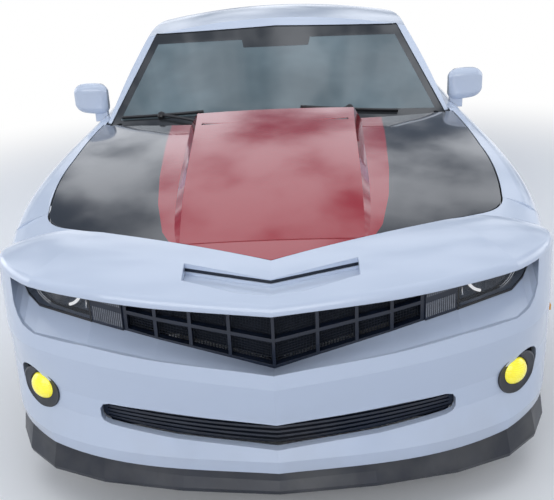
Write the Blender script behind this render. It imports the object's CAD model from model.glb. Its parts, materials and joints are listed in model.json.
import json
import math

import bpy
from mathutils import Matrix, Vector

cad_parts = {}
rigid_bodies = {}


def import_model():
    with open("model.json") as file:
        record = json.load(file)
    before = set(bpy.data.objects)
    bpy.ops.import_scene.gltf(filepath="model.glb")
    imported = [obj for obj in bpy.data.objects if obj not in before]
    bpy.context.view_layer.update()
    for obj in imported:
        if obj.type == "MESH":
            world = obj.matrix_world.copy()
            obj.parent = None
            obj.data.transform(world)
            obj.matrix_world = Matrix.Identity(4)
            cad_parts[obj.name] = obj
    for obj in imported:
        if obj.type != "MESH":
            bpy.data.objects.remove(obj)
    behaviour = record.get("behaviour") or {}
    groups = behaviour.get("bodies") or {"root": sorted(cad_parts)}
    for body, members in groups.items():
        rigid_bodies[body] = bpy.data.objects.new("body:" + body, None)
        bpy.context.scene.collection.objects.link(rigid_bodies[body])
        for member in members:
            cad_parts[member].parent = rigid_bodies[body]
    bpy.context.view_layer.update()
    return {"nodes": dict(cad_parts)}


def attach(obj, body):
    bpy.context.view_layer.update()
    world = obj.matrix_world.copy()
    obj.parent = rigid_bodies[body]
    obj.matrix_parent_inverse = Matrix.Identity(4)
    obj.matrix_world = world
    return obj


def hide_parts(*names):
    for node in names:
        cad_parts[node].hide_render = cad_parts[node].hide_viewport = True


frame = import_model()
nodes = frame["nodes"]

bl_info = {
    "name": "Two-door coupe dressing",
    "version": (1, 0, 0),
    "blender": (4, 5, 0),
    "location": "3D View > Sidebar > Coupe",
    "description": "Paint, glass, lamps, grilles, tyres and trim of a two-door coupe",
    "category": "Object",
}

# ------------------------------------------------------------------ places taken from the frame
FRONT_AXLE_Y = -1.467
REAR_AXLE_Y = 1.385
AXLE_Z = 0.364
TYRE_RADIUS = 0.364
RIM_RADIUS = 0.254
FRONT_WHEEL_X, FRONT_TYRE_WIDTH = 0.809, 0.245
REAR_WHEEL_X, REAR_TYRE_WIDTH = 0.814, 0.275
# Rows of the grille and lamp face: x, y, top and bottom.
FACE = (
    (0.0, -2.333, 0.724, 0.520),
    (0.350, -2.283, 0.748, 0.605),
    (0.560, -2.233, 0.766, 0.650),
    (0.740, -2.155, 0.776, 0.673),
    (0.782, -2.117, 0.780, 0.698),
    (0.800, -2.098, 0.781, 0.730),
    (0.812, -2.086, 0.782, 0.760),
)
# The underside of the brow over a headlamp.
BROW_POINT, BROW_NORMAL = (0.560, -2.2, 0.7635), (-0.056, 0.0, 1.0)
FAR_OFF = 3.0  # beyond the car, where a line that looks for a surface starts


def between(rows, x, column=1):
    """A column of a table between its rows, which stand in the order of their first value."""
    for a, b in zip(rows, rows[1:]):
        if x <= b[0]:
            share = (x - a[0]) / (b[0] - a[0])
            return a[column] + (b[column] - a[column]) * share
    return rows[-1][column]


def along_face(x, column):
    """A column of FACE between its rows: 1 is the grille's face, 2 its top, 3 its bottom."""
    return between(FACE, abs(x), column)


# ------------------------------------------------------------------ shader graph
class Value:
    """One socket of a graph, which Python's operators work on."""

    def __init__(self, graph, socket):
        self.graph, self.socket = graph, socket

    def __add__(self, other):
        return self.graph.maths("ADD", self, other)

    def __radd__(self, other):
        return self.graph.maths("ADD", other, self)

    def __sub__(self, other):
        return self.graph.maths("SUBTRACT", self, other)

    def __rsub__(self, other):
        return self.graph.maths("SUBTRACT", other, self)

    def __mul__(self, other):
        return self.graph.maths("MULTIPLY", self, other)

    def __rmul__(self, other):
        return self.graph.maths("MULTIPLY", other, self)

    def __truediv__(self, other):
        return self.graph.maths("DIVIDE", self, other)


class Graph:
    """The node tree of one material."""

    def __init__(self, name):
        self.material = bpy.data.materials.new(name)
        self.material.use_nodes = True
        self.tree = self.material.node_tree
        self.tree.nodes.clear()
        self.point = self.node("ShaderNodeTexCoord")["Object"]

    def node(self, kind, settings=None, **sockets):
        """A node of a type, with its settings, then the values or links of its sockets."""
        made = self.tree.nodes.new(kind)
        for key, value in (settings or {}).items():
            if key == "stops":
                while len(made.color_ramp.elements) < len(value):
                    made.color_ramp.elements.new(0.5)
                for element, (place, colour) in zip(made.color_ramp.elements, value):
                    element.position, element.color = place, colour
            else:
                setattr(made, key, value)
        for key, value in sockets.items():
            key = int(key[1:]) if key[0] == "_" else key.replace("_", " ")
            self.feed(made.inputs[key], value)
        return {socket.name: Value(self, socket) for socket in reversed(made.outputs)}

    def feed(self, socket, value):
        """Links a value to a socket, or sets it there."""
        if isinstance(value, Value):
            self.tree.links.new(value.socket, socket)
        else:
            socket.default_value = value

    def maths(self, operation, *values):
        """A Math node."""
        sockets = {f"_{i}": value for i, value in enumerate(values)}
        return self.node("ShaderNodeMath", {"operation": operation}, **sockets)["Value"]

    def axis(self, letter):
        """One coordinate of the point."""
        return self.node("ShaderNodeSeparateXYZ", Vector=self.point)[letter]

    def noise(self, scale, detail=2.0, rough=0.5, stretch=None):
        """Noise from 0 to 1."""
        point = self.point
        if stretch:
            point = self.node("ShaderNodeMapping", Vector=point, Scale=stretch)["Vector"]
        return self.node(
            "ShaderNodeTexNoise", Vector=point, Scale=scale, Detail=detail, Roughness=rough
        )["Fac"]

    def step(self, value, start, end):
        """0 before start, 1 after end, smooth between."""
        settings = {"interpolation_type": "SMOOTHSTEP"}
        made = self.node("ShaderNodeMapRange", settings, Value=value, From_Min=start, From_Max=end)
        return made["Result"]

    def mix(self, factor, a, b):
        """A mix of two colours."""
        made = self.tree.nodes.new("ShaderNodeMix")
        made.data_type = "RGBA"
        for index, value in ((0, factor), (6, a), (7, b)):
            self.feed(made.inputs[index], value)
        return Value(self, made.outputs[2])

    def finish(self, base, roughness, height=None, depth=0.0002, rounding=0.0, **plain):
        """A principled shader with a bump and rounded edges."""
        sockets = {"Base_Color": base, "Roughness": roughness, **plain}
        normal = None
        if rounding:
            normal = self.node("ShaderNodeBevel", {"samples": 4}, Radius=rounding)["Normal"]
        if height is not None:
            bump = {"Height": height, "Distance": depth, "Strength": 1.0}
            if normal is not None:
                bump["Normal"] = normal
            normal = self.node("ShaderNodeBump", **bump)["Normal"]
        if normal is not None:
            sockets["Normal"] = normal
        shader = self.node("ShaderNodeBsdfPrincipled", **sockets)["BSDF"]
        self.node("ShaderNodeOutputMaterial", Surface=shader)
        return self.material


def tone(red, green, blue):
    """A colour with full opacity."""
    return (red, green, blue, 1.0)


def dust_tone(graph, colour, dust, amount):
    """A colour that varies a little and is dusty low down."""
    low = 1 - graph.step(graph.axis("Z"), 0.12, 0.55)
    cloud = graph.step(graph.noise(5.0, 4.0), 0.35, 0.7)
    return graph.mix(low * cloud * amount, colour, dust)


def body_paint(name, colour):
    """Gloss paint under clear coat, with faint orange peel."""
    graph = Graph(name)
    shade = tuple(c * 0.965 for c in colour[:3]) + (1.0,)
    base = graph.mix(graph.noise(2.2, 3.0), colour, shade)
    base = dust_tone(graph, base, tone(0.40, 0.38, 0.35), 0.16)
    rough = 0.20 + graph.noise(7.0, 3.0) * 0.08
    peel = graph.noise(420.0, 1.0)
    return graph.finish(
        base, rough, peel, 0.00002, 0.0035, Coat_Weight=0.6, Coat_Roughness=0.06, Specular_IOR_Level=0.5
    )


def moulded(name, colour, roughness, grain=900.0, depth=0.00006, rounding=0.0012, metallic=0.0):
    """Moulded plastic or cast metal with a fine grain."""
    graph = Graph(name)
    lighter = tuple(min(1.0, c * 1.35 + 0.004) for c in colour[:3]) + (1.0,)
    base = graph.mix(graph.step(graph.noise(9.0, 5.0), 0.3, 0.75), colour, lighter)
    base = dust_tone(graph, base, tone(0.22, 0.21, 0.19), 0.22)
    rough = roughness + graph.noise(26.0, 3.0) * 0.12 - 0.06
    return graph.finish(base, rough, graph.noise(grain, 3.0), depth, rounding, Metallic=metallic)


# ------------------------------------------------------------------ modelling helpers
MERGE_DISTANCE = 0.00002


def choose(piece):
    """Makes one object the only selected one, and the active one."""
    bpy.ops.object.select_all(action="DESELECT")
    piece.select_set(True)
    bpy.context.view_layer.objects.active = piece


def begin(name, at):
    """A new mesh of one point, in edit mode, with its object at the origin."""
    bpy.ops.object.select_all(action="DESELECT")
    bpy.ops.mesh.primitive_plane_add(size=0.001, location=(0, 0, 0))
    piece = bpy.context.object
    piece.name = name
    bpy.ops.object.mode_set(mode="EDIT")
    bpy.ops.mesh.select_mode(type="VERT")
    bpy.ops.mesh.select_all(action="SELECT")
    bpy.ops.mesh.merge(type="CENTER")
    bpy.ops.transform.translate(value=at)
    return piece


def trace(name, points):
    """A chain of edges through the points, in edit mode."""
    piece = begin(name, points[0])
    for a, b in zip(points, points[1:]):
        step = Vector(b) - Vector(a)
        bpy.ops.mesh.extrude_vertices_move(TRANSFORM_OT_translate={"value": step})
    return piece


def close_up():
    """Merges doubled points, turns the faces outwards and leaves edit mode."""
    bpy.ops.mesh.select_all(action="SELECT")
    bpy.ops.mesh.remove_doubles(threshold=MERGE_DISTANCE)
    bpy.ops.mesh.normals_make_consistent(inside=False)
    bpy.ops.object.mode_set(mode="OBJECT")


def plate(name, points, pull):
    """A flat outline pulled along a vector."""
    piece = trace(name, points)
    bpy.ops.mesh.select_all(action="SELECT")
    bpy.ops.mesh.edge_face_add()
    bpy.ops.mesh.extrude_region_move(TRANSFORM_OT_translate={"value": pull})
    close_up()
    return piece


def turned(name, points, centre, axis, angle=math.tau, steps=48):
    """A profile spun about an axis."""
    piece = trace(name, points)
    bpy.ops.mesh.select_all(action="SELECT")
    bpy.ops.mesh.spin(steps=steps, angle=angle, center=centre, axis=axis)
    close_up()
    return piece


def frame_of(centre, axis):
    """A matrix whose z is the axis, at the centre."""
    turn = Vector(axis).to_track_quat("Z", "Y").to_matrix().to_4x4()
    return Matrix.Translation(centre) @ turn


def lathe(name, profile, centre, axis, steps=48, angle=math.tau, start=0.0):
    """A profile of (radius, height) pairs turned about an axis through a centre."""
    place = frame_of(centre, axis)
    turn = Matrix.Rotation(start, 4, "Z")
    points = [place @ (turn @ Vector((r, 0, h))) for r, h in profile]
    return turned(name, points, centre, axis, angle, steps)


def ring(name, centre, axis, radius, thickness, start=0.0, angle=math.tau, steps=48, sides=10):
    """A torus, or an arc of one with closed ends."""
    circle = [
        (radius + thickness * math.cos(math.tau * i / sides), thickness * math.sin(math.tau * i / sides))
        for i in range(sides + 1)
    ]
    piece = lathe(name, circle, centre, axis, steps, angle, start)
    if angle < math.tau:
        select_mesh(piece)
        bpy.ops.mesh.select_all(action="DESELECT")
        bpy.ops.mesh.select_non_manifold()
        bpy.ops.mesh.edge_face_add()
        close_up()
    return piece


def select_mesh(piece):
    """Opens one piece in edit mode with all of it selected."""
    if bpy.context.object and bpy.context.object.mode != "OBJECT":
        bpy.ops.object.mode_set(mode="OBJECT")
    choose(piece)
    bpy.ops.object.mode_set(mode="EDIT")
    bpy.ops.mesh.select_all(action="SELECT")


def modifier(piece, kind, **settings):
    """Adds a modifier and applies it."""
    choose(piece)
    bpy.ops.object.modifier_add(type=kind)
    made = piece.modifiers[-1]
    for key, value in settings.items():
        setattr(made, key, value)
    bpy.ops.object.modifier_apply(modifier=made.name)


def pick(piece, test, kind="FACE"):
    """Selects the faces or edges whose middle passes a test, in edit mode."""
    select_mesh(piece)
    bpy.ops.mesh.select_mode(type=kind)
    bpy.ops.mesh.select_all(action="DESELECT")
    bpy.ops.object.mode_set(mode="OBJECT")
    points = piece.data.vertices
    parts = piece.data.polygons if kind == "FACE" else piece.data.edges
    for part in parts:
        middle = sum((points[i].co for i in part.vertices), Vector()) / len(part.vertices)
        part.select = bool(test(middle, part))
    bpy.ops.object.mode_set(mode="EDIT")


def bevelled(piece, width, segments=2, angle=30.0):
    """Rounds the edges that are sharper than an angle."""
    modifier(
        piece, "BEVEL", width=width, segments=segments, limit_method="ANGLE", angle_limit=math.radians(angle)
    )
    return piece


def dressed(piece, body, material, smooth=35.0):
    """Gives a piece its material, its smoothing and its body."""
    choose(piece)
    bpy.ops.object.shade_smooth_by_angle(angle=math.radians(smooth))
    piece.data.materials.clear()
    piece.data.materials.append(material)
    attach(piece, body)
    return piece


def mirrored(piece, name):
    """A copy across the middle of the car, with its own mesh."""
    choose(piece)
    bpy.ops.object.duplicate()
    copy = bpy.context.object
    copy.name = name
    select_mesh(copy)
    bpy.ops.transform.resize(value=(-1, 1, 1), center_override=(0, 0, 0))
    bpy.ops.mesh.flip_normals()
    bpy.ops.object.mode_set(mode="OBJECT")
    return copy


def joined(pieces, name):
    """Several meshes as one piece."""
    bpy.ops.object.select_all(action="DESELECT")
    for piece in pieces:
        piece.select_set(True)
    bpy.context.view_layer.objects.active = pieces[0]
    bpy.ops.object.join()
    pieces[0].name = name
    return pieces[0]


def placed(piece):
    """Moves an object's place into its mesh."""
    choose(piece)
    bpy.ops.object.transform_apply(location=True, rotation=True, scale=True)
    return piece


def pair(piece, name, bodies, material, smooth=35.0):
    """Dresses a left piece and its mirrored copy."""
    other = mirrored(piece, f"{name}_right")
    piece.name = f"{name}_left"
    dressed(piece, bodies[0], material, smooth)
    dressed(other, bodies[1], material, smooth)


BOTH_ROOT = ("root", "root")
DOORS = ("door_left", "door_right")


def ribbon(name, points, pull, thickness, round_off=0.0):
    """A strip along the points, as wide as the pull."""
    piece = trace(name, points)
    bpy.ops.mesh.select_all(action="SELECT")
    bpy.ops.mesh.extrude_edges_move(TRANSFORM_OT_translate={"value": pull})
    close_up()
    modifier(piece, "SOLIDIFY", thickness=thickness, offset=0.0)
    if round_off:
        bevelled(piece, round_off)
    return piece


def trimmed(piece, point, normal):
    """Cuts away what lies beyond a plane and closes the cut."""
    select_mesh(piece)
    bpy.ops.mesh.bisect(plane_co=point, plane_no=normal, clear_outer=True, use_fill=True)
    close_up()
    return piece


def skin(name, rows):
    """A sheet drawn over rows of points, one strip between each row and the next."""
    strips = []
    for i, pair_of_rows in enumerate(zip(rows, rows[1:])):
        chains = []
        for row in pair_of_rows:
            chains.append(trace(f"{name}_{i}_{len(chains)}", row))
            bpy.ops.object.mode_set(mode="OBJECT")
        strip = joined(chains, f"{name}_{i}")
        select_mesh(strip)
        bpy.ops.mesh.bridge_edge_loops()
        bpy.ops.object.mode_set(mode="OBJECT")
        strips.append(strip)
    piece = joined(strips, name) if len(strips) > 1 else strips[0]
    piece.name = name
    select_mesh(piece)
    close_up()
    return piece


def rounded_outline(low, high, corner, steps=4):
    """The (a, b) points of a rectangle with round corners."""
    points = []
    for a, b, turn in (
        (high[0], high[1], 0), (low[0], high[1], 90), (low[0], low[1], 180), (high[0], low[1], 270)
    ):
        inward_a = a - corner if a == high[0] else a + corner
        inward_b = b - corner if b == high[1] else b + corner
        for i in range(steps + 1):
            angle = math.radians(turn + 90 * i / steps)
            points.append((inward_a + corner * math.cos(angle), inward_b + corner * math.sin(angle)))
    return points


def copy_of(node, name):
    """A merged copy of a CAD node's mesh."""
    choose(nodes[node])
    bpy.ops.object.duplicate()
    piece = bpy.context.object
    piece.name = name
    bpy.ops.object.parent_clear(type="CLEAR_KEEP_TRANSFORM")
    placed(piece)
    select_mesh(piece)
    bpy.ops.mesh.remove_doubles(threshold=MERGE_DISTANCE)
    bpy.ops.object.mode_set(mode="OBJECT")
    return piece


CHANNEL_DEPTH = 0.010  # of a sewn channel before the pad is smoothed
SEAT_CHANNELS = (-0.25, 0.25)  # shares of a pad's width


def cushion(name, centre, size, tilt=0.0, channels=(), levels=2):
    """A crowned pad: a block whose corners are drawn in, with sewn channels along it."""
    bpy.ops.object.select_all(action="DESELECT")
    bpy.ops.mesh.primitive_cube_add(size=1.0, location=(0, 0, 0))
    pad = bpy.context.object
    pad.name = name
    select_mesh(pad)
    bpy.ops.mesh.subdivide(number_cuts=7)
    bpy.ops.transform.resize(value=size, center_override=(0, 0, 0))
    bpy.ops.mesh.vertices_smooth(factor=0.5, repeat=5)
    for place in channels:
        pick(pad, lambda middle, edge: abs(middle.x - place * size[0]) < 0.004, "EDGE")
        bpy.ops.transform.shrink_fatten(value=-CHANNEL_DEPTH)
    bpy.ops.mesh.select_all(action="SELECT")
    bpy.ops.transform.rotate(value=math.radians(tilt), orient_axis="X", center_override=(0, 0, 0))
    bpy.ops.transform.translate(value=centre)
    bpy.ops.object.mode_set(mode="OBJECT")
    modifier(pad, "SUBSURF", levels=levels, render_levels=levels)
    return pad


def coated(node, material):
    """Gives a CAD node one material."""
    mesh = nodes[node].data
    mesh.materials.clear()
    mesh.materials.append(material)


def hit(node, start, way):
    """Where a line from a point meets a node, and the surface's direction there."""
    found, place, normal, _ = nodes[node].ray_cast(Vector(start), Vector(way))
    if not found:
        raise RuntimeError(f"nothing of {node} lies that way from {start}")
    return place, normal


def face_point(x, share, setback=0.0):
    """A point of the lamp face: share is 0 at its bottom and 1 at its top."""
    low, high = along_face(x, 3), along_face(x, 2)
    return Vector((x, along_face(x, 1) + setback, low + (high - low) * share))


# ------------------------------------------------------------------ settings
class CoupePaint(bpy.types.PropertyGroup):
    """Colours of the car's finishes."""

    body: bpy.props.FloatVectorProperty(
        name="Body", description="Body paint", default=(0.60, 0.675, 0.81), subtype="COLOR", size=3, min=0,
        max=1
    )
    bonnet: bpy.props.FloatVectorProperty(
        name="Bonnet", description="Bonnet paint", default=(0.016, 0.018, 0.022), subtype="COLOR", size=3,
        min=0, max=1
    )
    panel: bpy.props.FloatVectorProperty(
        name="Bonnet panel", description="Middle of the bonnet", default=(0.30, 0.004, 0.014),
        subtype="COLOR", size=3,
        min=0, max=1
    )
    fog: bpy.props.FloatVectorProperty(
        name="Fog lens", description="Fog lamp lens", default=(0.95, 0.86, 0.03), subtype="COLOR", size=3,
        min=0, max=1
    )
    rim: bpy.props.FloatVectorProperty(
        name="Wheels", description="Wheel paint", default=(0.16, 0.165, 0.175), subtype="COLOR", size=3,
        min=0, max=1
    )
    seats: bpy.props.FloatVectorProperty(
        name="Seats", description="Seat trim", default=(0.05, 0.05, 0.055), subtype="COLOR", size=3, min=0,
        max=1
    )


class CoupeSizes(bpy.types.PropertyGroup):
    """Sizes of the car's small pieces."""

    halo_radius: bpy.props.FloatProperty(
        name="Halo radius", description="Light ring in a headlamp", default=0.079, unit="LENGTH", min=0.03,
        max=0.09
    )
    mesh_pitch: bpy.props.FloatProperty(
        name="Grille mesh", description="Pitch of the mesh behind the grille", default=0.009, unit="LENGTH",
        min=0.004, max=0.02
    )
    tread_depth: bpy.props.FloatProperty(
        name="Tread depth", description="Depth of the tyre's grooves", default=0.007, unit="LENGTH",
        min=0.002,
        max=0.01
    )


def paint():
    """The scene's colours."""
    return bpy.context.scene.coupe_paint


def sizes():
    """The scene's small sizes."""
    return bpy.context.scene.coupe_sizes


MATERIALS = {}


def finish_of(name):
    """A finished material by its key."""
    return MATERIALS[name]


def window_glass(name, colour, opacity, frit):
    """Tinted glass, with a printed black border where frit is given."""
    graph = Graph(name)
    haze = graph.step(graph.noise(2.6, 3.0), 0.3, 0.8)
    lighter = tuple(c * 1.5 for c in colour[:3]) + (1.0,)
    base = graph.mix(haze, colour, lighter)
    alpha = opacity + haze * 0.06
    if frit:
        edge = frit(graph)
        base = graph.mix(edge, base, tone(0.035, 0.038, 0.042))
        alpha = graph.maths("MAXIMUM", alpha, edge)
    rough = 0.03 + graph.noise(60.0) * 0.02
    return graph.finish(
        base, rough, Alpha=alpha, Specular_IOR_Level=0.5, Coat_Weight=0.35, Coat_Roughness=0.02
    )


def windscreen_frit(graph):
    """The printed border of the windscreen, deeper behind the mirror."""
    side = graph.maths("ABSOLUTE", graph.axis("X"))
    z = graph.axis("Z")
    foot_half, foot_z, lean = 0.776, 0.938, 0.445
    half = foot_half - (z - foot_z) * lean
    edge = graph.step(side - half, -0.034, -0.030)
    top = graph.step(z + side * side * 0.03, 1.262, 1.266)
    bottom = 1 - graph.step(z + side * side * 0.06, 1.000, 1.004)
    patch = graph.step(z, 1.230, 1.234) * (1 - graph.step(side - (z - 1.234) * 0.33, 0.160, 0.164))
    return graph.maths("MAXIMUM", graph.maths("MAXIMUM", edge, top), graph.maths("MAXIMUM", bottom, patch))


class COUPE_OT_finishes(bpy.types.Operator):
    """Make the paints and put them on the shaped panels"""

    bl_idname = "coupe.finishes"
    bl_label = "Finishes"

    def execute(self, context):
        colours = paint()
        MATERIALS["paint"] = body_paint("body_paint", tone(*colours.body))
        MATERIALS["bonnet"] = self.bonnet_paint(tone(*colours.bonnet), tone(*colours.panel))
        MATERIALS["trim"] = moulded("black_trim", tone(0.018, 0.019, 0.022), 0.42)
        MATERIALS["splitter"] = moulded("splitter_black", tone(0.008, 0.011, 0.020), 0.40, rounding=0.003)
        MATERIALS["grille"] = moulded("grille_black", tone(0.007, 0.012, 0.026), 0.30, rounding=0.002)
        MATERIALS["mesh"] = moulded("mesh_black", tone(0.004, 0.008, 0.018), 0.5)
        MATERIALS["liner"] = moulded("liner_felt", tone(0.012, 0.012, 0.012), 0.85, 300.0, 0.0006)
        MATERIALS["under"] = moulded("underbody_paint", tone(0.05, 0.05, 0.053), 0.6, 200.0, 0.0003)
        MATERIALS["iron"] = moulded("cast_iron", tone(0.11, 0.105, 0.10), 0.55, 240.0, 0.0004, metallic=0.85)
        MATERIALS["steel"] = moulded(
            "exhaust_steel", tone(0.42, 0.41, 0.40), 0.28, 500.0, 0.00004, metallic=1.0
        )
        MATERIALS["chrome"] = moulded(
            "bright_metal", tone(0.80, 0.81, 0.83), 0.10, 800.0, 0.00001, metallic=1.0
        )
        MATERIALS["rim"] = self.rim_paint(tone(*colours.rim))
        MATERIALS["cabin"] = moulded("cabin_grain", tone(0.028, 0.029, 0.032), 0.62, 520.0, 0.0002)
        MATERIALS["leather"] = self.leather(tone(*colours.seats))
        MATERIALS["mirror_glass"] = moulded(
            "mirror_silver", tone(0.78, 0.80, 0.82), 0.06, 60.0, 0.00001, metallic=1.0
        )
        MATERIALS["amber"] = moulded("amber_lens", tone(0.80, 0.30, 0.02), 0.15, 500.0, 0.0001)
        MATERIALS["red_lens"] = self.ribbed_red()
        MATERIALS["cabin_dark"] = moulded("cabin_black", tone(0.012, 0.012, 0.014), 0.35)
        MATERIALS["screen"] = window_glass(
            "windscreen_glass", tone(0.135, 0.180, 0.200), 0.76, windscreen_frit
        )
        MATERIALS["glass"] = window_glass("side_glass", tone(0.05, 0.065, 0.066), 0.70, None)
        nodes_of = {
            "paint": "front_fascia wing_left wing_right quarter_left quarter_right sills roof tail_panel "
            "rear_bumper boot_lid door_left door_right mirror_left mirror_right",
            "bonnet": "bonnet",
            "splitter": "splitter",
            "grille": "upper_grille lower_grille",
            "liner": "wheel_liners",
            "under": "floor_pan boot_tub firewall front_frame door_posts lid_hinges",
            "iron": "engine_block front_suspension rear_axle knuckle_left knuckle_right",
            "steel": "exhaust",
            "rim": "wheel_front_left wheel_front_right wheel_rear_left wheel_rear_right",
            "cabin": "dashboard centre_console steering_wheel",
            "cabin_dark": "interior_mirror wipers fog_lamps",
            "red_lens": "tail_lamps",
            "leather": "front_seats rear_seat",
            "screen": "windscreen",
            "glass": "rear_window door_glass_left door_glass_right quarter_glass",
        }
        for key, names in nodes_of.items():
            for name in names.split():
                coated(name, finish_of(key))
        return {"FINISHED"}

    def bonnet_paint(self, black, red):
        """Gloss black with a red middle panel whose sides bow in towards the nose."""
        graph = Graph("bonnet_paint")
        side = graph.maths("ABSOLUTE", graph.axis("X"))
        front_y, span = -2.20, 1.30
        share = (graph.axis("Y") - front_y) / span
        # The red panel's half width along the bonnet.
        rows = (
            (-2.20, 0.262), (-2.09, 0.316), (-2.0, 0.358), (-1.80, 0.400), (-1.57, 0.427), (-1.2, 0.453),
            (-0.926, 0.466)
        )
        stops = [((y - front_y) / span, (w, w, w, 1.0)) for y, w in rows]
        half = graph.node("ShaderNodeValToRGB", {"stops": stops}, Fac=share)["Color"]
        half = graph.node("ShaderNodeSeparateColor", Color=half)["Red"]
        panel = 1 - graph.step(side - half, -0.0008, 0.0008)
        flake = graph.noise(900.0, 2.0)
        cloud = graph.noise(1.4, 3.0)
        dark = graph.mix(cloud, black, tone(0.035, 0.038, 0.046))
        bright = graph.mix(flake * 0.5, red, tone(0.52, 0.03, 0.05))
        base = graph.mix(panel, dark, bright)
        rough = 0.12 + graph.noise(6.0, 3.0) * 0.05
        return graph.finish(
            base, rough, graph.noise(420.0, 1.0), 0.00001, 0.004, Coat_Weight=1.0, Coat_Roughness=0.03,
            Specular_IOR_Level=0.35
        )

    def leather(self, colour):
        """Grained leather, a little worn and paler where it is sat on."""
        graph = Graph("seat_leather")
        worn = graph.step(graph.noise(6.0, 4.0), 0.45, 0.75)
        base = graph.mix(worn * 0.5, colour, tone(0.10, 0.10, 0.105))
        cells = graph.node(
            "ShaderNodeTexVoronoi", {"feature": "DISTANCE_TO_EDGE"}, Vector=graph.point, Scale=170.0
        )
        grain = graph.step(cells["Distance"], 0.0, 0.12)
        return graph.finish(base, 0.48 + graph.noise(30.0) * 0.14, grain, 0.00006)

    def ribbed_red(self):
        """Red lens with moulded ribs over a brighter middle."""
        graph = Graph("red_lens")
        ribs = graph.maths("SINE", graph.axis("X") * 1100.0)
        glow = graph.step(graph.noise(24.0, 2.0), 0.35, 0.75)
        base = graph.mix(glow, tone(0.20, 0.003, 0.006), tone(0.42, 0.010, 0.014))
        return graph.finish(base, 0.16 + glow * 0.06, ribs, 0.0003, Coat_Weight=0.3, Specular_IOR_Level=0.3,
                            Emission_Color=base, Emission_Strength=0.5)

    def rim_paint(self, colour):
        """Metallic wheel paint with brake dust towards the hub."""
        graph = Graph("wheel_paint")
        flake = graph.noise(1600.0, 2.0)
        base = graph.mix(flake * 0.4, colour, tone(0.30, 0.31, 0.33))
        dusty = graph.step(graph.noise(8.0, 4.0), 0.4, 0.8)
        base = graph.mix(dusty * 0.3, base, tone(0.05, 0.045, 0.04))
        rough = 0.28 + dusty * 0.2
        return graph.finish(
            base, rough, flake, 0.00001, 0.004, Metallic=0.8, Coat_Weight=0.5, Coat_Roughness=0.08
        )


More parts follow.
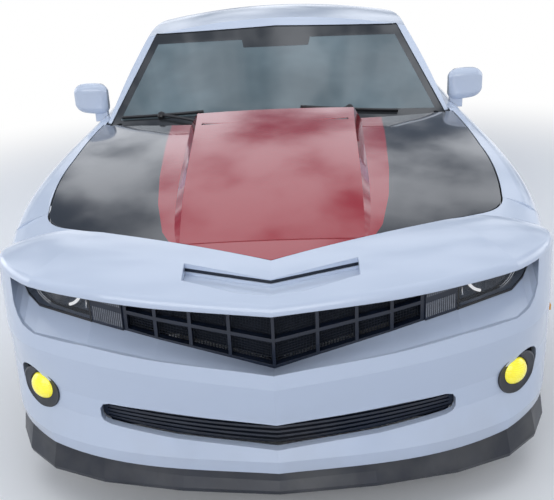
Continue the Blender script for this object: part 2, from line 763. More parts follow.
class COUPE_OT_headlamps(bpy.types.Operator):
    """Model the headlamps: housing, light ring, projector and smoked cover"""

    bl_idname = "coupe.headlamps"
    bl_label = "Headlamps"

    def execute(self, context):
        radius = sizes().halo_radius
        centre = Vector((0.660, -2.168, 0.760))
        axis = Vector((0.36, -0.925, -0.10)).normalized()
        coated("headlamps", self.cover_glass())
        dark = self.housing_plastic()
        lit = self.light()
        tray = self.tray()
        pair(tray, "lamp_tray", BOTH_ROOT, dark)
        # The bowl's profile: radius and height along the lamp's axis.
        bowl = [
            (radius + 0.012, -0.004), (radius + 0.006, 0.002), (radius - 0.010, -0.004),
            (radius - 0.022, -0.016)
        ]
        bowl += [(0.040, -0.022), (0.038, -0.010), (0.034, -0.008), (0.020, 0.002), (0.0, 0.006)]
        housing = lathe("lamp_bowl", bowl, centre, axis, 56)
        modifier(housing, "SOLIDIFY", thickness=0.002, offset=-1)
        pair(self.under_brow(housing), "lamp_bowl", BOTH_ROOT, dark)
        front = centre + axis * 0.008
        arc = ring("halo_arc", front, axis, radius, 0.0050, math.radians(253), math.radians(62), 28)
        pair(self.under_brow(arc), "halo_arc", BOTH_ROOT, lit)
        for i, gap in enumerate((-0.002, 0.006)):
            line = ring(
                f"halo_line_{i}", front + Vector((0.006, 0.0, 0.0)), axis, radius + 0.009 + gap, 0.0015,
                math.radians(357), math.radians(58), 28, 6
            )
            pair(self.under_brow(line), f"halo_line_{i}", BOTH_ROOT, finish_of("chrome"))
        base, up = face_point(0.572, 0.30, 0.016), Vector((0.004, 0.0, 0.036))
        strip = plate(
            "lamp_bright_strip", [base, base + Vector((0.008, -0.003, 0.0)), base + up * 0.9, base + up],
            (0.0, 0.004, 0.0)
        )
        pair(bevelled(strip, 0.001), "lamp_bright_strip", BOTH_ROOT, finish_of("chrome"))
        path = [face_point(x, 0.0, -0.0045) for x in (0.5575, 0.60, 0.65, 0.70, 0.74, 0.782, 0.800, 0.811)]
        gasket = ribbon("lamp_gasket", path, (0.0, 0.0, 0.0085), 0.004, 0.001)
        edge = [face_point(0.5580, share, -0.0045) for share in (0.0, 0.5, 0.98)]
        side = ribbon("lamp_gasket_side", edge, (0.005, -0.0005, 0.0), 0.004, 0.001)
        pair(
            joined([gasket, side], "lamp_gasket"), "lamp_gasket", BOTH_ROOT,
            finish_of("cabin_dark")
        )
        return {"FINISHED"}

    def under_brow(self, piece):
        """Keeps what lies below the brow and behind the cover."""
        trimmed(piece, BROW_POINT, BROW_NORMAL)
        return trimmed(piece, (0.560, -2.235, 0.70), (0.40, -0.915, 0.0))

    def tray(self):
        """The dark tray at the back of the lamp."""
        path = [face_point(x, 0.03, 0.052) for x in (0.562, 0.60, 0.65, 0.70, 0.74, 0.775, 0.795)]
        tray = ribbon("lamp_tray", path, (0.0, 0.0, 0.125), 0.002)
        return trimmed(tray, BROW_POINT, BROW_NORMAL)

    def housing_plastic(self):
        """Slate plastic that is paler towards the middle of the car."""
        graph = Graph("lamp_housing")
        inward = 1 - graph.step(graph.maths("ABSOLUTE", graph.axis("X")), 0.56, 0.70)
        low = 1 - graph.step(graph.axis("Z"), 0.66, 0.75)
        base = graph.mix(inward * low, tone(0.014, 0.021, 0.038), tone(0.11, 0.14, 0.19))
        base = graph.mix(graph.noise(14.0, 3.0) * 0.35, base, tone(0.05, 0.06, 0.075))
        return graph.finish(base, 0.22 + graph.noise(30.0) * 0.1, graph.noise(400.0), 0.00003)

    def cover_glass(self):
        """A smoked cover that shows what is behind it."""
        graph = Graph("smoked_cover")
        base = graph.mix(graph.noise(8.0), tone(0.030, 0.038, 0.050), tone(0.05, 0.06, 0.075))
        rough = 0.03 + graph.noise(40.0) * 0.02
        return graph.finish(
            base, rough, Alpha=0.26 + graph.noise(12.0) * 0.05, Coat_Weight=1.0, Specular_IOR_Level=0.5
        )

    def light(self):
        """A frosted light guide that is lit."""
        graph = Graph("light_guide")
        glow = graph.mix(graph.noise(200.0), tone(1.0, 0.97, 0.92), tone(0.85, 0.86, 0.9))
        return graph.finish(glow, 0.25, Emission_Color=glow, Emission_Strength=0.7)


class COUPE_OT_turn_lamps(bpy.types.Operator):
    """Model the ribbed lamps beside the grille"""

    bl_idname = "coupe.turn_lamps"
    bl_label = "Turn lamps"

    def execute(self, context):
        coated("turn_lamps", finish_of("grille"))
        clear = self.ribbed()
        first, last, count = 0.462, 0.548, 15
        for row, (low, high) in enumerate(((0.640, 0.686), (0.711, 0.731))):
            ribs = []
            for i in range(count):
                x = first + (last - first) * i / (count - 1)
                foot = Vector((x, along_face(x, 1) - 0.0066 - 0.010 * row, low + (x - first) * 0.22))
                profile = [foot + Vector((-0.0027, 0.0, 0.0)), foot + Vector((-0.0014, -0.0024, 0.0003))]
                profile += [foot + Vector((0.0014, -0.0024, 0.0009)), foot + Vector((0.0027, 0.0011, 0.0012))]
                ribs.append(plate(f"rib_{row}_{i}", profile, (0.0, 0.0014, high - low)))
            piece = joined(ribs, f"turn_ribs_{row}")
            pair(piece, f"turn_ribs_{row}", BOTH_ROOT, clear)
        return {"FINISHED"}

    def ribbed(self):
        """Clear ribbed plastic over a grey reflector."""
        graph = Graph("ribbed_lens")
        base = graph.mix(graph.noise(60.0), tone(0.075, 0.085, 0.105), tone(0.19, 0.205, 0.24))
        return graph.finish(base, 0.12 + graph.noise(80.0) * 0.1, rounding=0.001, Coat_Weight=1.0)


class COUPE_OT_fog_lamps(bpy.types.Operator):
    """Model the fog lamps: yellow lens, dark rim and dark bezel"""

    bl_idname = "coupe.fog_lamps"
    bl_label = "Fog lamps"

    def execute(self, context):
        middle_x, middle_z = 0.7615, 0.411
        half_width, half_height = 0.0710, 0.0695
        steps = 36
        # Rings of the bezel from its foot to its middle: share of its size, and how proud it stands.
        rings = (
            (1.0, -0.004), (1.0, 0.004), (0.955, 0.0075), (0.88, 0.0035), (0.6, 0.003), (0.3, 0.003),
            (0.02, 0.003)
        )
        rows = []
        for scale, proud in rings:
            row = []
            for i in range(steps + 1):
                angle = math.tau * i / steps
                x = middle_x + half_width * scale * math.cos(angle)
                row.append((x, self.corner_y(x) - proud, middle_z + half_height * scale * math.sin(angle)))
            rows.append(row)
        pair(skin("fog_bezel", rows), "fog_bezel", BOTH_ROOT, finish_of("splitter"))
        turn = math.radians(25.0)
        axis = Vector((math.sin(turn), -math.cos(turn), 0.0))
        lens_x, lens_z = 0.7505, 0.4205
        centre = Vector((lens_x, self.corner_y(lens_x) - 0.001, lens_z))
        # The lens's profile: radius and height.
        dome = [
            (0.0, 0.0255), (0.015, 0.0240), (0.029, 0.0185), (0.040, 0.0105), (0.0465, 0.0), (0.0475, -0.006),
            (0.0475, -0.030)
        ]
        pair(
            lathe("fog_lens", dome, centre, axis, 44), "fog_lens", BOTH_ROOT,
            self.lens(tone(*paint().fog))
        )
        rim = lathe(
            "fog_rim", [(0.0478, 0.001), (0.0515, 0.002), (0.053, -0.004), (0.053, -0.030)], centre, axis, 44
        )
        modifier(rim, "SOLIDIFY", thickness=0.001)
        pair(rim, "fog_rim", BOTH_ROOT, finish_of("cabin_dark"))
        return {"FINISHED"}

    def corner_y(self, x):
        """How far forward the bumper's corner stands at a width."""
        # Half width, and how far forward the skin stands there.
        rows = (
            (0.680, -2.2555), (0.713, -2.2400), (0.729, -2.2310), (0.768, -2.2060), (0.807, -2.1710),
            (0.823, -2.1560), (0.840, -2.1322)
        )
        return between(rows, x)

    def lens(self, colour):
        """Yellow moulded lens with fine flutes."""
        graph = Graph("yellow_lens")
        flutes = graph.maths("SINE", graph.axis("Z") * 900.0)
        base = graph.mix(graph.step(graph.noise(30.0, 3.0), 0.3, 0.8), colour, tone(0.93, 0.78, 0.015))
        return graph.finish(base, 0.15 + graph.noise(50.0) * 0.1, flutes, 0.0004, Coat_Weight=1.0,
                            Emission_Color=base, Emission_Strength=0.42)


class COUPE_OT_grilles(bpy.types.Operator):
    """Model the fine mesh behind the upper grille and the ducts behind both grilles"""

    bl_idname = "coupe.grilles"
    bl_label = "Grilles"

    def execute(self, context):
        pitch = sizes().mesh_pitch
        half_width, mesh_height, duct_height = 0.45, 0.23, 0.24
        mesh_setback, duct_setback = 0.034, 0.075
        columns = int(half_width / pitch)
        path = [face_point(half_width * i / columns, 0.0, mesh_setback) for i in range(columns + 1)]
        mesh = trace("upper_mesh", path)
        bpy.ops.mesh.select_all(action="SELECT")
        for row in range(int(mesh_height / pitch)):
            bpy.ops.mesh.extrude_edges_move(TRANSFORM_OT_translate={"value": (0.0, 0.0, pitch)})
        self.below_brow()
        close_up()
        modifier(mesh, "WIREFRAME", thickness=0.0028, use_boundary=True)
        modifier(mesh, "MIRROR")
        dressed(mesh, "root", finish_of("mesh"))
        path = [face_point(x, -0.03, duct_setback) for x in (0.0, 0.12, 0.24, 0.35, 0.46)]
        duct = trace("upper_duct", path)
        bpy.ops.mesh.select_all(action="SELECT")
        bpy.ops.mesh.extrude_edges_move(TRANSFORM_OT_translate={"value": (0.0, 0.0, duct_height)})
        self.below_brow()
        close_up()
        modifier(duct, "SOLIDIFY", thickness=0.002)
        modifier(duct, "MIRROR")
        dressed(duct, "root", finish_of("mesh"))
        arc = [(-0.55, -2.20, 0.262), (0.0, -2.29, 0.262), (0.55, -2.20, 0.262)]
        duct = ribbon("lower_duct", arc, (0.0, 0.0, 0.148), 0.002)
        dressed(duct, "root", finish_of("mesh"))
        slot = [(-0.261, -2.203, 0.7955), (0.0, -2.286, 0.7805), (0.261, -2.203, 0.7955)]
        slot = ribbon("nose_slot", slot, (0.0, 0.0, 0.011), 0.012)
        dressed(slot, "root", finish_of("mesh"))
        return {"FINISHED"}

    def below_brow(self):
        """Cuts the open sheet off at the fascia's brow."""
        bpy.ops.mesh.select_all(action="SELECT")
        bpy.ops.mesh.bisect(plane_co=(0.0, -2.3, 0.728), plane_no=(-0.072, 0.0, 1.0), clear_outer=True)


class COUPE_OT_tyres(bpy.types.Operator):
    """Model the tyres with their tread blocks and sidewalls"""

    bl_idname = "coupe.tyres"
    bl_label = "Tyres"

    def execute(self, context):
        rubber = self.rubber()
        rows = (
            ("front", FRONT_WHEEL_X, FRONT_AXLE_Y, FRONT_TYRE_WIDTH, "f"),
            ("rear", REAR_WHEEL_X, REAR_AXLE_Y, REAR_TYRE_WIDTH, "r")
        )
        for place, x, y, width, letter in rows:
            tyre = self.tyre(f"tread_{place}", x, y, width)
            other = mirrored(tyre, f"tread_{place}_right")
            tyre.name = f"tread_{place}_left"
            for piece, side in ((tyre, "left"), (other, "right")):
                dressed(piece, f"wheel_{letter}{side[0]}", rubber, 28.0)
                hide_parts(f"tyre_{place}_{side}")
        return {"FINISHED"}

    def tyre(self, name, x, y, width):
        """A tyre about its axle: the section is spun and grooves are pressed into its tread."""
        half, r, s = width / 2, TYRE_RADIUS, RIM_RADIUS
        depth = sizes().tread_depth
        # Edges of the tread's ribs, then the section from the inner bead to the shoulder.
        lands = [half * share for share in (-0.74, -0.55, -0.49, -0.20, -0.14, 0.14, 0.20, 0.49, 0.55, 0.74)]
        profile = [(-half + 0.012, s - 0.008), (-half + 0.010, s + 0.010), (-half + 0.002, s + 0.024)]
        profile += [
            (-half, s + 0.050), (-half + 0.003, s + 0.075), (-half + 0.008, r - 0.020),
            (-half + 0.018, r - 0.007)
        ]
        for i, place in enumerate(lands):
            profile.append((place, r - 0.0005))
            if i % 2 == 1 and i < len(lands) - 1:
                profile += [(place + 0.0012, r - depth), (lands[i + 1] - 0.0012, r - depth)]
        mirror = [(-a, b) for a, b in reversed(profile[:7])]
        profile += mirror
        points = [Vector((x + a, y, AXLE_Z + b)) for a, b in profile]
        centre = (x, y, AXLE_Z)
        blocks = 72
        piece = turned(name, points, centre, (1, 0, 0), math.tau, 2 * blocks)
        pitch = math.tau / blocks

        def sipe(middle, part):
            radius = math.hypot(middle.y - y, middle.z - AXLE_Z)
            turn = math.atan2(middle.z - AXLE_Z, middle.y - y) / pitch
            offset = abs(middle.x - x)
            on_tread, outside_middle = radius > r - 0.0012, offset > half * 0.28
            return on_tread and outside_middle and int(turn * 2 + 4000) % 4 == 0

        pick(piece, sipe)
        bpy.ops.mesh.extrude_region_shrink_fatten(TRANSFORM_OT_shrink_fatten={"value": -depth * 0.7})
        bpy.ops.object.mode_set(mode="OBJECT")
        return piece

    def rubber(self):
        """Dull rubber with rings moulded on the sidewall and dust in the tread."""
        graph = Graph("tyre_rubber")
        dusty = graph.step(graph.noise(7.0, 5.0), 0.35, 0.75)
        base = graph.mix(dusty * 0.35, tone(0.018, 0.018, 0.019), tone(0.07, 0.066, 0.06))
        grain = graph.noise(700.0, 3.0)
        return graph.finish(base, 0.72 + graph.noise(20.0, 3.0) * 0.12, grain, 0.0001)


class COUPE_OT_wheel_trim(bpy.types.Operator):
    """Model the wheel nuts, centre caps and valves"""

    bl_idname = "coupe.wheel_trim"
    bl_label = "Wheel trim"

    def execute(self, context):
        hub_offset, cap_seat = 0.030, 0.020
        nut_count, nut_circle = 5, 0.052
        rows = (("front", FRONT_WHEEL_X, FRONT_AXLE_Y, "f"), ("rear", REAR_WHEEL_X, REAR_AXLE_Y, "r"))
        for place, x, y, letter in rows:
            centre = Vector((x + hub_offset + cap_seat, y, AXLE_Z))
            # Profiles of cap, nut and valve: radius and height over the hub's face.
            cap = [(0.0, 0.010), (0.020, 0.009), (0.028, 0.006), (0.031, 0.002), (0.031, 0.0)]
            cap = lathe(f"cap_{place}", cap, centre, (1, 0, 0), 40)
            nuts = []
            for i in range(nut_count):
                turn = math.tau * (i + 0.5) / nut_count
                at = centre + Vector((0, math.sin(turn) * nut_circle, math.cos(turn) * nut_circle))
                nut = [(0.0, 0.014), (0.006, 0.0135), (0.010, 0.010), (0.0105, 0.0)]
                nuts.append(lathe(f"nut_{place}_{i}", nut, at, (1, 0, 0), 6))
            valve_at = centre + Vector((0.03, 0.05, 0.222))
            valve = lathe(
                f"valve_{place}", [(0.0, 0.016), (0.004, 0.016), (0.0045, 0.0)], valve_at, (1, 0, 0), 12
            )
            for stem, piece, key in (
                ("cap", cap, "trim"), ("nuts", joined(nuts, f"nuts_{place}"), "chrome"),
                ("valve", valve, "trim")
            ):
                bodies = (f"wheel_{letter}l", f"wheel_{letter}r")
                pair(piece, f"{stem}_{place}", bodies, finish_of(key))
        return {"FINISHED"}


class COUPE_OT_tail(bpy.types.Operator):
    """Model the tail lamps, the lid's rear face, the corner caps and the bumper's trimmed skin"""

    bl_idname = "coupe.tail"
    bl_label = "Tail"

    def execute(self, context):
        paint_finish = finish_of("paint")
        bottom, top, border = 0.7835, 0.9000, 0.012
        for i, (inner, outer) in enumerate(((0.303, 0.475), (0.513, 0.685))):
            bezel = self.lamp_plate(f"tail_bezel_{i}", (inner, bottom), (outer, top), 0.020, 0.001, 0.034)
            pair(bevelled(bezel, 0.0015), f"tail_bezel_{i}", BOTH_ROOT, finish_of("cabin_dark"))
            low, high = (inner + border, bottom + border), (outer - border, top - border)
            lens = self.lamp_plate(f"tail_lens_{i}", low, high, 0.016, 0.009, 0.010)
            pair(bevelled(lens, 0.004, 3), f"tail_lens_{i}", BOTH_ROOT, finish_of("red_lens"))
        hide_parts("tail_lamps")
        low = [(x, self.skin_y(abs(x)) - 0.001, 0.9075) for x in self.stations()]
        high = [(x, min(2.3365, self.skin_y(abs(x)) - 0.004), 0.9985) for x in self.stations()]
        middle = [(a[0], (a[1] + b[1]) / 2 - 0.004, (a[2] + b[2]) / 2) for a, b in zip(low, high)]
        face = skin("lid_rear_face", [low, middle, high])
        modifier(face, "SOLIDIFY", thickness=0.004, offset=-1)
        dressed(face, "boot_lid", paint_finish)
        # The corner cap's edge by the shoulder and its edge by the tail panel.
        near = [
            (0.638, 2.147, 1.0385), (0.680, 2.147, 1.0345), (0.720, 2.147, 1.0305), (0.760, 2.147, 1.0275),
            (0.806, 2.147, 1.0180), (0.846, 2.147, 1.0000)
        ]
        far = [
            (0.638, 2.268, 0.9865), (0.680, 2.250, 0.9860), (0.720, 2.215, 0.9855), (0.760, 2.190, 0.9850),
            (0.806, 2.170, 0.9855), (0.8385, 2.166, 0.9780)
        ]
        crown = 0.004
        half = [((a + d) / 2, (b + e) / 2, (c + f) / 2 + crown) for (a, b, c), (d, e, f) in zip(near, far)]
        cap = skin("tail_corner_cap", [near, half, far])
        modifier(cap, "SOLIDIFY", thickness=0.003, offset=-1)
        pair(cap, "tail_corner_cap", BOTH_ROOT, paint_finish)
        outline = (
            (2.150, 1.0385), (2.150, 1.020), (2.262, 0.994), (2.336, 0.990), (2.338, 1.024), (2.300, 1.029)
        )
        cheek = plate("lid_cheek", [(0.6215, y, z) for y, z in outline], (0.0045, 0.0, 0.0))
        pair(cheek, "lid_cheek", ("boot_lid", "boot_lid"), paint_finish)
        # Height, and half width at the quarter's edge and at the tail panel's edge.
        levels = (
            (0.700, 0.895, 0.885), (0.760, 0.893, 0.870), (0.820, 0.891, 0.866), (0.880, 0.888, 0.862),
            (0.940, 0.884, 0.858), (0.984, 0.864, 0.839)
        )
        seam = skin(
            "tail_seam",
            [[(a - 0.005, 2.136, z) for z, a, b in levels], [(b - 0.004, 2.168, z) for z, a, b in levels]]
        )
        pair(seam, "tail_seam", BOTH_ROOT, paint_finish)
        self.valance()
        bumper = trimmed(copy_of("rear_bumper", "rear_bumper_skin"), (0.0, 2.32, 0.240), (0.0, 0.105, -1.0))
        dressed(bumper, "root", paint_finish)
        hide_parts("rear_bumper")
        tips = ring("exhaust_lip", (0.540, 2.383, 0.262), (0, 1, 0), 0.0405, 0.0030, steps=40)
        pair(tips, "exhaust_lip", BOTH_ROOT, finish_of("chrome"))
        return {"FINISHED"}

    def valance(self):
        """The plain dark panel along the foot of the rear bumper."""
        half, steps, proud, look_z = 0.465, 14, 0.0065, 0.45
        forward = (0, -1, 0)
        across = [-half + 2 * half * i / steps for i in range(steps + 1)]
        back = hit("rear_bumper", (0.0, FAR_OFF, look_z), forward)[0].y
        bow = (back - hit("rear_bumper", (half, FAR_OFF, look_z), forward)[0].y) / half ** 2
        rows = []
        for z in (0.365, 0.325, 0.285, 0.250):
            skin_at = [hit("rear_bumper", (x, FAR_OFF, z), forward)[0].y for x in across]
            flat = max(y + bow * x * x for x, y in zip(across, skin_at)) + proud
            rows.append([(x, flat - bow * x * x, z - 0.010 * abs(x) / half) for x in across])
        rows.insert(0, [(x, y - 0.010, z + 0.004) for x, y, z in rows[0]])
        rows.append([(x, y - 0.030, z - 0.004) for x, y, z in rows[-1]])
        panel = skin("rear_valance", rows)
        modifier(panel, "SOLIDIFY", thickness=0.003, offset=-1)
        dressed(panel, "root", finish_of("splitter"))

    def stations(self):
        """Places across the lid's rear face."""
        return (-0.626, -0.55, -0.40, -0.20, 0.0, 0.20, 0.40, 0.55, 0.626)

    def skin_y(self, x):
        """How far back the tail panel's skin stands."""
        # Half width, and how far back the skin stands there.
        rows = (
            (0.0, 2.370), (0.20, 2.363), (0.40, 2.362), (0.478, 2.355), (0.55, 2.346), (0.60, 2.336),
            (0.65, 2.321), (0.70, 2.304)
        )
        return between(rows, x)

    def lamp_plate(self, name, low, high, corner, proud, depth):
        """A rounded plate that follows the tail panel."""
        outline = rounded_outline(low, high, corner)
        points = [(x, self.skin_y(x) + proud - (z - 0.84) * 0.06, z) for x, z in outline]
        return plate(name, points, (0.0, -depth, 0.0))


class COUPE_OT_body_trim(bpy.types.Operator):
    """Model the wipers, mirror glasses, door handles, side markers, fuel flap and belt seals"""

    bl_idname = "coupe.body_trim"
    bl_label = "Body trim"

    def execute(self, context):
        wipers = [
            self.wiper("wiper_right", (-0.330, 1.003), (-0.722, 0.976), (-0.290, 0.962)),
            self.wiper("wiper_left", (0.110, 1.010), (0.551, 0.973), (0.150, 0.962))
        ]
        for piece in wipers:
            dressed(piece, "root", finish_of("cabin_dark"))
        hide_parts("wipers")
        outline = rounded_outline((0.838, 0.976), (0.982, 1.106), 0.036, 6)
        frame_ring = plate("mirror_bezel", [(x, -0.5105, z) for x, z in outline], (0.0, 0.0085, 0.0))
        pair(bevelled(frame_ring, 0.002), "mirror_bezel", DOORS, finish_of("cabin_dark"))
        outline = rounded_outline((0.846, 0.984), (0.974, 1.098), 0.030, 6)
        glass = plate("mirror_glass", [(x, -0.503, z) for x, z in outline], (0.0, 0.0022, 0.0))
        pair(glass, "mirror_glass", DOORS, finish_of("mirror_glass"))
        side, grip_z = 0.8995, 0.800
        # The grip's middle line: how far out of the door's skin, and its place along the car.
        grip = (
            (-0.003, 0.352), (0.018, 0.372), (0.026, 0.415), (0.028, 0.455), (0.026, 0.495), (0.018, 0.538)
        )
        path = [(side + out, y, grip_z) for out, y in (*grip, (-0.003, 0.558))]
        handle = ribbon("door_handle", path, (0.0, 0.0, 0.024), 0.009, 0.003)
        pair(handle, "door_handle", DOORS, finish_of("paint"))
        outline = rounded_outline((0.375, 0.786), (0.535, 0.838), 0.024)
        recess = plate(
            "handle_recess", [(side + (z - 0.812) * 0.09 + 0.0005, y, z) for y, z in outline],
            (0.0018, 0.0, 0.0)
        )
        pair(recess, "handle_recess", DOORS, finish_of("trim"))
        front = [(0.9335, -1.955, 0.500), (0.9365, -1.925, 0.500), (0.9385, -1.895, 0.500)]
        rear = [(0.9185, 1.920, 0.560), (0.9152, 1.950, 0.560), (0.9120, 1.980, 0.560)]
        markers = (
            ("front_marker", front, "lamp_yellow", "amber"), ("rear_marker", rear, "lamp_red", "red_lens")
        )
        for name, path, slot, key in markers:
            pair(ribbon(name, path, (0.0, 0.0, 0.020), 0.005, 0.001), name, BOTH_ROOT, finish_of(key))
        flap = ring(
            "fuel_flap_seam", (-0.950, 1.56, 0.862), (-1.0, 0.0, 0.10), 0.072, 0.0013, steps=56, sides=6
        )
        modifier(
            flap, "SHRINKWRAP", target=nodes["quarter_right"], wrap_method="PROJECT", use_project_x=True,
            use_positive_direction=True, use_negative_direction=True, offset=0.0002
        )
        modifier(flap, "SOLIDIFY", thickness=0.001, offset=0.0)
        dressed(flap, "root", finish_of("trim"))
        for side_name, sign in (("left", 1), ("right", -1)):
            path = [
                hit(f"door_glass_{side_name}", (sign * 1.5, y, z), (-sign, 0, 0))[0]
                for y, z in self.belt_line()
            ]
            strip = ribbon(
                f"belt_seal_{side_name}", [place + Vector((sign * 0.0015, 0, 0)) for place in path],
                (0.0, 0.0, 0.012), 0.005, 0.001
            )
            dressed(strip, f"door_{side_name}", finish_of("trim"))
        return {"FINISHED"}

    def belt_line(self):
        """Points along the foot of the door glass, as length and height."""
        return (
            (-0.60, 0.963), (-0.50, 0.966), (-0.30, 0.971), (0.0, 0.978), (0.20, 0.981), (0.36, 0.986),
            (0.50, 0.990), (0.62, 0.993)
        )

    def wiper(self, name, foot, tip, pivot):
        """One wiper lying on the glass: blade, spine, arm and pivot cap."""
        path, normals = [], []
        steps = 8
        for i in range(steps + 1):
            share = i / steps
            x, z = foot[0] + (tip[0] - foot[0]) * share, foot[1] + (tip[1] - foot[1]) * share
            place, normal = hit("windscreen", (x, -FAR_OFF, z), (0, 1, 0))
            path.append(place)
            normals.append(normal)
        out = sum(normals, Vector()).normalized()
        along = (path[-1] - path[0]).normalized()
        across = out.cross(along).normalized()
        blade = ribbon(f"{name}_blade", [place + out * 0.001 for place in path], out * 0.009, 0.004)
        spine = ribbon(
            f"{name}_spine", [place + out * 0.011 - across * 0.006 for place in path], across * 0.012, 0.004,
            0.001
        )
        base = hit("windscreen", (pivot[0], -FAR_OFF, pivot[1]), (0, 1, 0))[0]
        start, middle = base + out * 0.014, path[steps // 2] + out * 0.018
        arm = ribbon(
            f"{name}_arm", [start, start.lerp(middle, 0.5) + out * 0.004, middle], across * 0.013, 0.006,
            0.0015
        )
        cap = [(0.0, 0.024), (0.010, 0.023), (0.016, 0.018), (0.018, 0.004), (0.018, -0.004)]
        pivot = lathe(f"{name}_pivot", cap, base, out, 24)
        saddle = lathe(
            f"{name}_saddle", [(0.0, 0.026), (0.012, 0.024), (0.018, 0.016), (0.018, 0.006)],
            path[steps // 2] + across * 0.004, out, 16
        )
        return joined([blade, spine, arm, pivot, saddle], name)


class COUPE_OT_cabin(bpy.types.Operator):
    """Model the seats, dash trim, gear lever, armrests and engine covers"""

    bl_idname = "coupe.cabin"
    bl_label = "Cabin"

    def execute(self, context):
        leather, dark = finish_of("leather"), finish_of("cabin_dark")
        bolster_shift = 0.196
        for side, sign in (("left", 1), ("right", -1)):
            x, rear_x = 0.370 * sign, 0.275 * sign
            # Name, middle, size, lean and sewn channels.
            pads = [
                cushion(f"front_squab_{side}", (x, 0.105, 0.395), (0.40, 0.47, 0.16), 4.0, SEAT_CHANNELS),
                cushion(f"front_back_{side}", (x, 0.455, 0.745), (0.40, 0.16, 0.62), -19.0, SEAT_CHANNELS),
                cushion(f"headrest_{side}", (x, 0.545, 1.080), (0.26, 0.11, 0.19), -12.0),
                cushion(f"rear_squab_{side}", (rear_x, 0.905, 0.435), (0.53, 0.33, 0.15), 3.0, SEAT_CHANNELS),
                cushion(
                    f"rear_back_{side}", (rear_x, 1.095, 0.715), (0.53, 0.15, 0.53), -15.0, SEAT_CHANNELS
                ),
            ]
            for part, at, size, tilt in (
                ("squab", (0.0, 0.110, 0.420), (0.085, 0.45, 0.15), 4.0),
                ("back", (0.0, 0.430, 0.700), (0.085, 0.17, 0.46), -19.0)
            ):
                for end, shift in (("in", -bolster_shift), ("out", bolster_shift)):
                    at_side = (x + shift * sign, at[1], at[2])
                    pads.append(cushion(f"bolster_{part}_{end}_{side}", at_side, size, tilt))
            for pad in pads:
                dressed(pad, "root", leather, 60.0)
            foot = ((-0.05, 0.205), (0.31, 0.205), (0.29, 0.330), (-0.03, 0.330))
            rails = [
                plate(f"rail_{side}_{i}", [(x + shift, y, z) for y, z in foot], (0.03, 0, 0))
                for i, shift in enumerate((-0.195, 0.165))
            ]
            shell = plate(f"seat_shell_{side}", [(x - 0.19, y, z) for y, z in self.shell()], (0.38, 0, 0))
            dressed(
                joined([*rails, bevelled(shell, 0.008)], f"seat_frame_{side}"), "root", dark
            )
        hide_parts("front_seats")
        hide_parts("rear_seat")
        self.dash(dark)
        self.lever(leather)
        self.door_cards()
        self.engine()
        return {"FINISHED"}

    def shell(self):
        """The side outline of a seat's hard back and base."""
        base = [(-0.09, 0.315), (0.33, 0.315), (0.44, 0.42), (0.62, 0.95), (0.595, 0.985), (0.56, 0.97)]
        return base + [(0.40, 0.50), (0.31, 0.375), (-0.09, 0.36)]

    def dash(self, dark):
        """The screen, vents, instrument hood and its dials."""
        pieces = []
        dash_y, dial_x = -0.403, (0.305, 0.435)
        # The screen and the vents: name, low and high corner.
        for name, low, high in (
            ("screen", (-0.095, 0.785), (0.095, 0.842)), ("vent_a", (-0.69, 0.79), (-0.58, 0.84)),
            ("vent_b", (-0.23, 0.79), (-0.12, 0.84)),
            ("vent_c", (0.12, 0.79), (0.19, 0.84)), ("vent_d", (0.60, 0.79), (0.69, 0.84)),
        ):
            outline = rounded_outline(low, high, 0.012)
            pieces.append(plate(f"dash_{name}", [(x, dash_y, z) for x, z in outline], (0.0, 0.006, 0.0)))
        dressed(bevelled(joined(pieces, "dash_trim"), 0.001), "root", dark)
        arch = [
            (0.37 + 0.145 * math.cos(math.pi * i / 10), 0.872 + 0.075 * math.sin(math.pi * i / 10))
            for i in range(11)
        ]
        hood = ribbon("instrument_hood", [(x, -0.52, z) for x, z in arch], (0.0, 0.125, -0.012), 0.006, 0.001)
        dressed(hood, "root", finish_of("cabin"))
        dials = []
        for i, x in enumerate(dial_x):
            dials.append(
                lathe(
                    f"dial_{i}", [(0.0, 0.004), (0.046, 0.004), (0.048, 0.010), (0.052, 0.010), (0.052, 0.0)],
                    (x, -0.455, 0.878), (0.0, 0.94, 0.34), 36
                )
            )
        dressed(joined(dials, "dials"), "root", dark)

    def lever(self, leather):
        """The gear lever with its boot and knob."""
        foot, up = (0.0, -0.02, 0.552), (0, 0, 1)
        boot = lathe(
            "lever_boot", [(0.055, 0.0), (0.046, 0.020), (0.026, 0.050), (0.012, 0.075), (0.006, 0.078)],
            foot, up, 32
        )
        knob = lathe(
            "lever_knob",
            [(0.006, 0.070), (0.007, 0.105), (0.020, 0.115), (0.024, 0.132), (0.018, 0.148), (0.0, 0.152)],
            foot, up, 32
        )
        dressed(boot, "root", leather)
        dressed(knob, "root", finish_of("cabin_dark"))

    def door_cards(self):
        """The cards, armrests and lower pockets of the doors."""
        # Name, low and high corner, corner radius, width where it starts, depth, rounding, its steps, finish.
        rows = (
            ("door_card", (-0.56, 0.325), (0.54, 0.905), 0.060, 0.7660, 0.006, 0.002, 2, "cabin"),
            ("armrest", (-0.36, 0.600), (0.40, 0.668), 0.030, 0.7655, 0.052, 0.012, 3, "leather"),
            ("door_pocket", (-0.44, 0.370), (0.42, 0.520), 0.050, 0.7655, 0.030, 0.008, 2, "cabin_dark"),
        )
        for name, low, high, corner, x, depth, edge, steps, key in rows:
            outline = [(x, y, z) for y, z in rounded_outline(low, high, corner)]
            piece = bevelled(plate(name, outline, (-depth, 0.0, 0.0)), edge, steps)
            pair(piece, name, DOORS, finish_of(key))

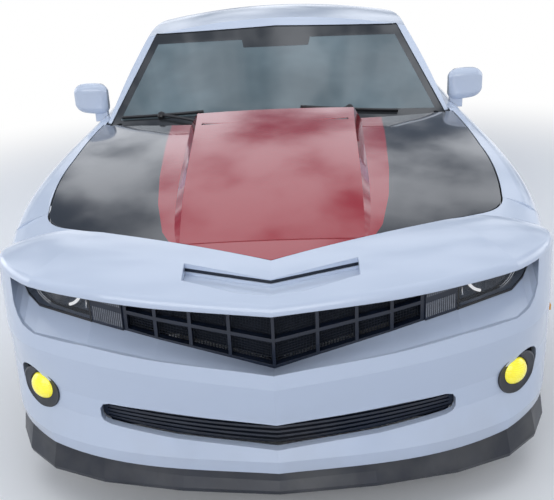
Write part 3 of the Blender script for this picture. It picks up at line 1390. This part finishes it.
    def engine(self):
        """Ribbed covers and an inlet duct on the engine."""
        seat_z, cover_height, rib_height = 0.799, 0.028, 0.006
        rib_foot, rib_width, rib_pitch, rib_count = 0.826, 0.008, 0.052, 9
        parts = []
        for sign in (1, -1):
            outline = rounded_outline((0.12, -1.62), (0.26, -1.12), 0.03)
            cover = plate(f"rocker_{sign}", [(x * sign, y, seat_z) for x, y in outline], (0, 0, cover_height))
            parts.append(bevelled(cover, 0.008))
            inner, outer = 0.135 * sign, 0.245 * sign
            for i in range(rib_count):
                y = -1.58 + i * rib_pitch
                ends = ((inner, y), (outer, y), (outer, y + rib_width), (inner, y + rib_width))
                parts.append(
                    plate(f"rib_{sign}_{i}", [(x, b, rib_foot) for x, b in ends], (0, 0, rib_height))
                )
        dressed(joined(parts, "rocker_covers"), "root", finish_of("trim"))
        outline = rounded_outline((-0.085, -1.62), (0.085, -1.14), 0.04)
        plenum = plate("inlet_plenum", [(x, y, seat_z) for x, y in outline], (0, 0, 0.045))
        dressed(bevelled(plenum, 0.014, 3), "root", finish_of("iron"))


class COUPE_OT_stage(bpy.types.Operator):
    """Lay the floor, hang the lamps and set the camera"""

    bl_idname = "coupe.stage"
    bl_label = "Stage"

    def execute(self, context):
        scene = context.scene
        scene.view_settings.view_transform = "Standard"
        bpy.ops.object.select_all(action="DESELECT")
        bpy.ops.mesh.primitive_plane_add(size=60.0, location=(0, 0, 0))
        floor = context.object
        floor.name = "floor"
        floor.data.materials.append(self.floor_finish())
        self.world(scene)
        # Name, place, aim, width, height, power.
        lamps = (
            ("overhead", (0.0, -0.6, 5.2), (0, 0, 0), 7.0, 6.0, 140.0),
            ("front_fill", (-1.5, -7.5, 3.0), (0, -1.0, 0.5), 6.0, 3.0, 150.0),
            ("left_wall", (6.0, -1.0, 2.6), (0, -0.5, 0.7), 6.0, 2.4, 70.0),
            ("right_wall", (-6.0, 0.5, 2.6), (0, 0, 0.7), 6.0, 2.4, 70.0),
        )
        for row in lamps:
            self.lamp(*row)
        self.camera(scene)
        return {"FINISHED"}

    def floor_finish(self):
        """A plain pale floor that keeps its shadow near the car and turns white far off."""
        graph = Graph("studio_floor")
        seen = self.seen_directly(graph)
        pale = graph.mix(graph.noise(0.8, 2.0), tone(0.93, 0.93, 0.93), tone(0.96, 0.96, 0.96))
        base = graph.mix(seen, tone(0.52, 0.55, 0.61), pale)
        near = graph.node("ShaderNodeBsdfPrincipled", Base_Color=base, Roughness=0.9)["BSDF"]
        white = graph.node("ShaderNodeEmission", Color=tone(1.0, 1.0, 1.0), Strength=1.0)["Emission"]
        distance = graph.node("ShaderNodeVectorMath", {"operation": "LENGTH"}, _0=graph.point)["Value"]
        shadow_edge, white_edge = 2.2, 5.0
        far = seen * graph.step(distance, shadow_edge, white_edge)
        shader = graph.node("ShaderNodeMixShader", _0=far, _1=near, _2=white)["Shader"]
        graph.node("ShaderNodeOutputMaterial", Surface=shader)
        return graph.material

    def seen_directly(self, graph):
        """1 for what the camera, a reflection or a clear surface shows."""
        ray = graph.node("ShaderNodeLightPath")
        seen = graph.maths("MAXIMUM", ray["Is Camera Ray"], ray["Is Glossy Ray"])
        return graph.maths("MAXIMUM", seen, ray["Is Transmission Ray"])

    def world(self, scene):
        """An even pale sky that is cloudy in reflections and white where it is seen."""
        world = bpy.data.worlds.new("studio")
        scene.world = world
        world.use_nodes = True
        world.node_tree.nodes.clear()
        sky = Graph.__new__(Graph)
        sky.tree = world.node_tree
        sky.point = sky.node("ShaderNodeTexCoord")["Generated"]
        soft = sky.node("ShaderNodeBackground", Color=tone(0.70, 0.80, 0.97), Strength=0.40)["Background"]
        cloud = sky.step(sky.noise(6.0, 4.0), 0.34, 0.64)
        shade = sky.mix(cloud, tone(0.09, 0.12, 0.17), tone(1.22, 1.27, 1.36))
        mirrored_sky = sky.node("ShaderNodeBackground", Color=shade, Strength=1.0)["Background"]
        white = sky.node("ShaderNodeBackground", Color=tone(1.0, 1.0, 1.0), Strength=1.0)["Background"]
        ray = sky.node("ShaderNodeLightPath")
        seen = sky.maths("MAXIMUM", ray["Is Camera Ray"], ray["Is Transmission Ray"])
        blend = sky.node("ShaderNodeMixShader", _0=ray["Is Glossy Ray"], _1=soft, _2=mirrored_sky)["Shader"]
        blend = sky.node("ShaderNodeMixShader", _0=seen, _1=blend, _2=white)["Shader"]
        sky.node("ShaderNodeOutputWorld", Surface=blend)

    def lamp(self, name, at, to, width, height, power):
        """A soft box aimed at a point. Reflections don't show the overhead one."""
        bpy.ops.object.light_add(type="AREA", location=at)
        lamp = bpy.context.object
        lamp.name = name
        lamp.data.shape = "RECTANGLE"
        lamp.data.size, lamp.data.size_y = width, height
        lamp.data.energy = power
        lamp.visible_glossy = name != "overhead"
        lamp.rotation_mode = "QUATERNION"
        lamp.rotation_quaternion = (Vector(to) - Vector(at)).to_track_quat("-Z", "Y")

    def camera(self, scene):
        """The camera in front of the car, a little above its roof."""
        place = (0.0959, -4.4233, 1.7093)
        pitch, yaw, roll = 0.3687, 0.0343, -0.0482
        lens, sensor_width = 51.54, 36.0
        cp, sp, cy, sy = math.cos(pitch), math.sin(pitch), math.cos(yaw), math.sin(yaw)
        cr, sr = math.cos(roll), math.sin(roll)
        forward = Vector((-cp * sy, cp * cy, -sp))
        right = Vector((cr * cy - sr * sp * sy, cr * sy + sr * sp * cy, sr * cp))
        up = Vector((-sr * cy - cr * sp * sy, -sr * sy + cr * sp * cy, cr * cp))
        bpy.ops.object.camera_add(location=place)
        camera = bpy.context.object
        camera.rotation_mode = "QUATERNION"
        camera.rotation_quaternion = Matrix((right, up, -forward)).transposed().to_quaternion()
        camera.data.lens = lens
        camera.data.sensor_width = sensor_width
        scene.camera = camera


class COUPE_PT_panel(bpy.types.Panel):
    """The car's operators and settings"""

    bl_idname = "COUPE_PT_panel"
    bl_label = "Coupe"
    bl_space_type = "VIEW_3D"
    bl_region_type = "UI"
    bl_category = "Coupe"

    def draw(self, context):
        for group in (context.scene.coupe_paint, context.scene.coupe_sizes):
            for name in group.__annotations__:
                self.layout.prop(group, name)
        for operator in OPERATORS:
            self.layout.operator(operator.bl_idname)


OPERATORS = (
    COUPE_OT_finishes,
    COUPE_OT_headlamps,
    COUPE_OT_turn_lamps,
    COUPE_OT_fog_lamps,
    COUPE_OT_grilles,
    COUPE_OT_tyres,
    COUPE_OT_wheel_trim,
    COUPE_OT_tail,
    COUPE_OT_body_trim,
    COUPE_OT_cabin,
    COUPE_OT_stage,
)
CLASSES = (CoupePaint, CoupeSizes, *OPERATORS, COUPE_PT_panel)


def register():
    for cls in CLASSES:
        bpy.utils.register_class(cls)
    bpy.types.Scene.coupe_paint = bpy.props.PointerProperty(type=CoupePaint)
    bpy.types.Scene.coupe_sizes = bpy.props.PointerProperty(type=CoupeSizes)


def unregister():
    del bpy.types.Scene.coupe_sizes
    del bpy.types.Scene.coupe_paint
    for cls in reversed(CLASSES):
        bpy.utils.unregister_class(cls)


def main():
    """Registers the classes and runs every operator."""
    register()
    for operator in OPERATORS:
        group, name = operator.bl_idname.split(".")
        getattr(getattr(bpy.ops, group), name)()


if __name__ == "__main__":
    main()
